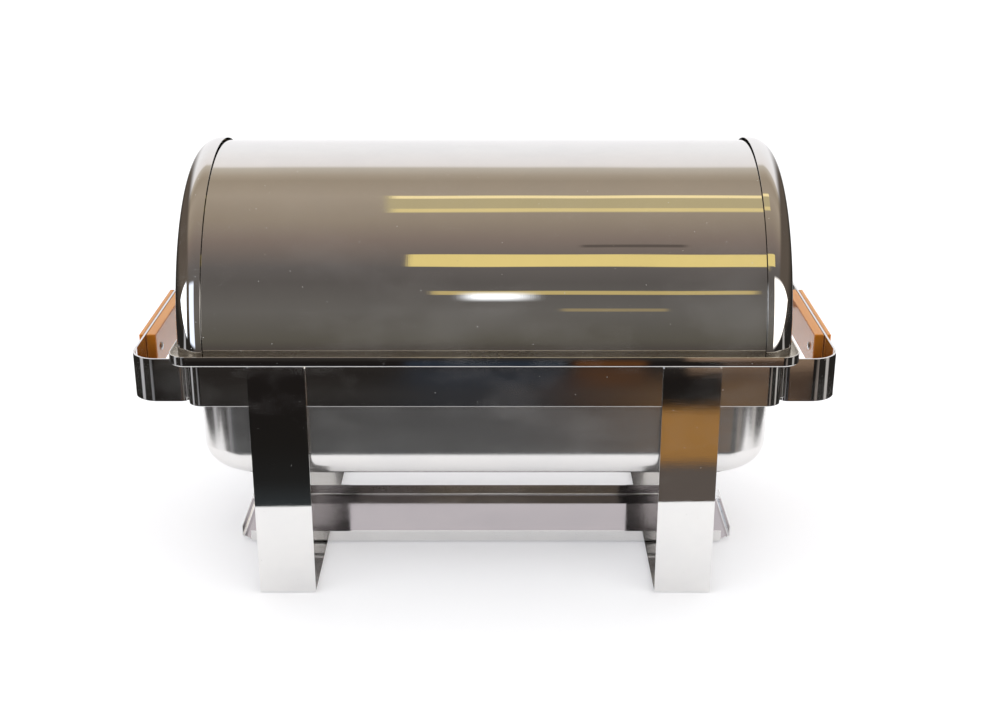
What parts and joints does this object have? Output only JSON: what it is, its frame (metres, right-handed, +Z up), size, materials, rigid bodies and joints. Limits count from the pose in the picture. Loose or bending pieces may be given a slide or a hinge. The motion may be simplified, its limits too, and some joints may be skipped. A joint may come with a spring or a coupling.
{
  "type": "roll top chafing dish",
  "caption": "Roll-top food warmer: water pan in a strap stand, food pan, half-round cover with a door that rolls back, side handles and a slide-in fuel tray.",
  "frame": {"origin": "middle of the bounding box on the surface the feet stand on", "axes": "+X along the dish to the right handle, +Y towards the serving side with the rolling door, +Z up"},
  "size_m": [0.703, 0.3874, 0.4281],
  "materials": {
    "polished_steel": "mirror-polished stainless steel with fine scratches",
    "satin_steel": "satin stainless steel",
    "amber_plastic": "amber moulded plate, semi-gloss",
    "rubber": "matte black",
    "fastener_steel": "plain bright steel"
  },
  "bodies": {
    "stand": {"band_ring": "polished_steel", "grip_inner_left": "amber_plastic", "grip_inner_right": "amber_plastic", "grip_outer_left": "amber_plastic", "grip_outer_right": "amber_plastic", "grip_screw_left_front": "fastener_steel", "grip_screw_left_rear": "fastener_steel", "grip_screw_right_front": "fastener_steel", "grip_screw_right_rear": "fastener_steel", "handle_rivet_left_front_lower": "fastener_steel", "handle_rivet_left_front_upper": "fastener_steel", "handle_rivet_left_rear_lower": "fastener_steel", "handle_rivet_left_rear_upper": "fastener_steel", "handle_rivet_right_front_lower": "fastener_steel", "handle_rivet_right_front_upper": "fastener_steel", "handle_rivet_right_rear_lower": "fastener_steel", "handle_rivet_right_rear_upper": "fastener_steel", "handle_strap_left": "polished_steel", "handle_strap_right": "polished_steel", "leg_frame_left": "polished_steel", "leg_frame_right": "polished_steel"},
    "tray": {"fuel_tray": "polished_steel"},
    "basin": {"water_pan": "satin_steel"},
    "cover": {"bumper_open_left": "rubber", "bumper_open_right": "rubber", "bumper_shut_left": "rubber", "bumper_shut_right": "rubber", "cover_frame": "satin_steel", "end_housing_left": "polished_steel", "end_housing_right": "polished_steel", "pivot_pin_left": "fastener_steel", "pivot_pin_right": "fastener_steel", "pivot_spacer_left": "fastener_steel", "pivot_spacer_right": "fastener_steel", "rear_sheet": "polished_steel"},
    "insert_pan": {"food_pan": "satin_steel"},
    "door": {"door_grip_inner": "amber_plastic", "door_grip_outer": "amber_plastic", "door_grip_screw_left": "fastener_steel", "door_grip_screw_right": "fastener_steel", "door_handle_strap": "polished_steel", "door_quadrant_left": "satin_steel", "door_quadrant_right": "satin_steel", "door_rivet_left": "fastener_steel", "door_rivet_right": "fastener_steel", "door_sheet": "polished_steel"}
  },
  "joints": [
    {"name": "basin_lift", "type": "slide", "parent": "stand", "child": "basin", "axis": [0, 0, 1], "range_m": [0, 0.2]},
    {"name": "cover_lift", "type": "slide", "parent": "basin", "child": "cover", "axis": [0, 0, 1], "range_m": [0, 0.25]},
    {"name": "door_roll", "type": "hinge", "parent": "cover", "child": "door", "pos_m": [0, -0.01567, 0.258], "axis": [1, 0, 0], "range_deg": [0, 65]},
    {"name": "food_pan_lift", "type": "slide", "parent": "cover", "child": "insert_pan", "axis": [0, 0, 1], "range_m": [0, 0.02]},
    {"name": "tray_slide", "type": "slide", "parent": "stand", "child": "tray", "axis": [0, 1, 0], "range_m": [-0.1, 0.1]}
  ]
}
